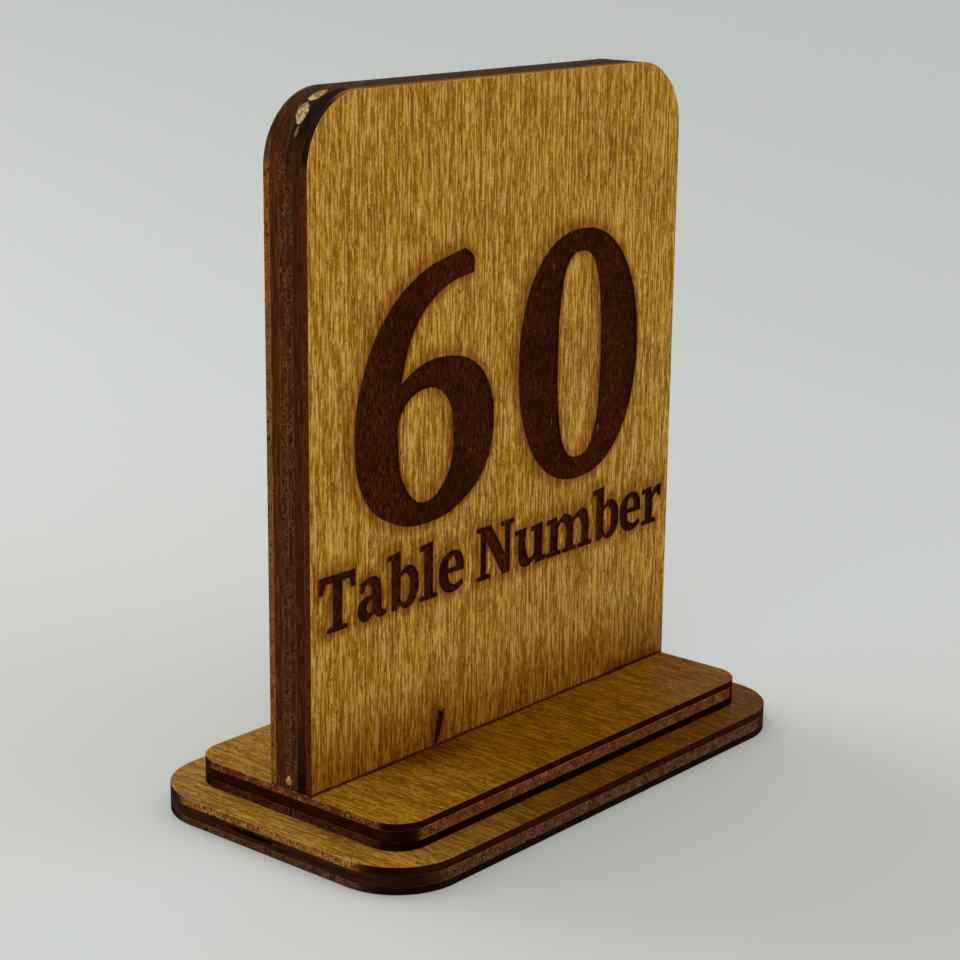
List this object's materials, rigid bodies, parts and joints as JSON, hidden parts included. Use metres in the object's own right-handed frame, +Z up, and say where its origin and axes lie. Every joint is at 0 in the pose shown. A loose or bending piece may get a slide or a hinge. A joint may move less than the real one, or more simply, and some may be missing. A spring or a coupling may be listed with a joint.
{
  "type": "table number holder",
  "caption": "Upright plywood sign with rounded upper corners and an engraved table number, tenoned and glued into a stepped plywood foot with rounded corners.",
  "frame": {"origin": "middle of the lower plate's underside, on the surface that the holder stands on", "axes": "+Z up the sign, +X along the sign's width, and the engraved front faces -Y"},
  "size_m": [0.09, 0.05, 0.1018],
  "materials": {
    "face_veneer": "honey stain under satin varnish, scorched brown on its cut edges and in the engraving",
    "core_veneer": "laser-scorched dark brown edge, matte",
    "back_veneer": "laser-scorched reddish brown edge, stained and varnished where it shows"
  },
  "bodies": {
    "root": {"front_sheet_face_ply": "face_veneer", "front_sheet_core_ply": "core_veneer", "front_sheet_inner_ply": "back_veneer", "rear_sheet_inner_ply": "back_veneer", "rear_sheet_core_ply": "core_veneer", "rear_sheet_face_ply": "face_veneer", "upper_plate_top_ply": "face_veneer", "upper_plate_core_ply": "core_veneer", "upper_plate_bottom_ply": "back_veneer", "lower_plate_top_ply": "face_veneer", "lower_plate_core_ply": "core_veneer", "lower_plate_bottom_ply": "back_veneer"}
  },
  "joints": []
}
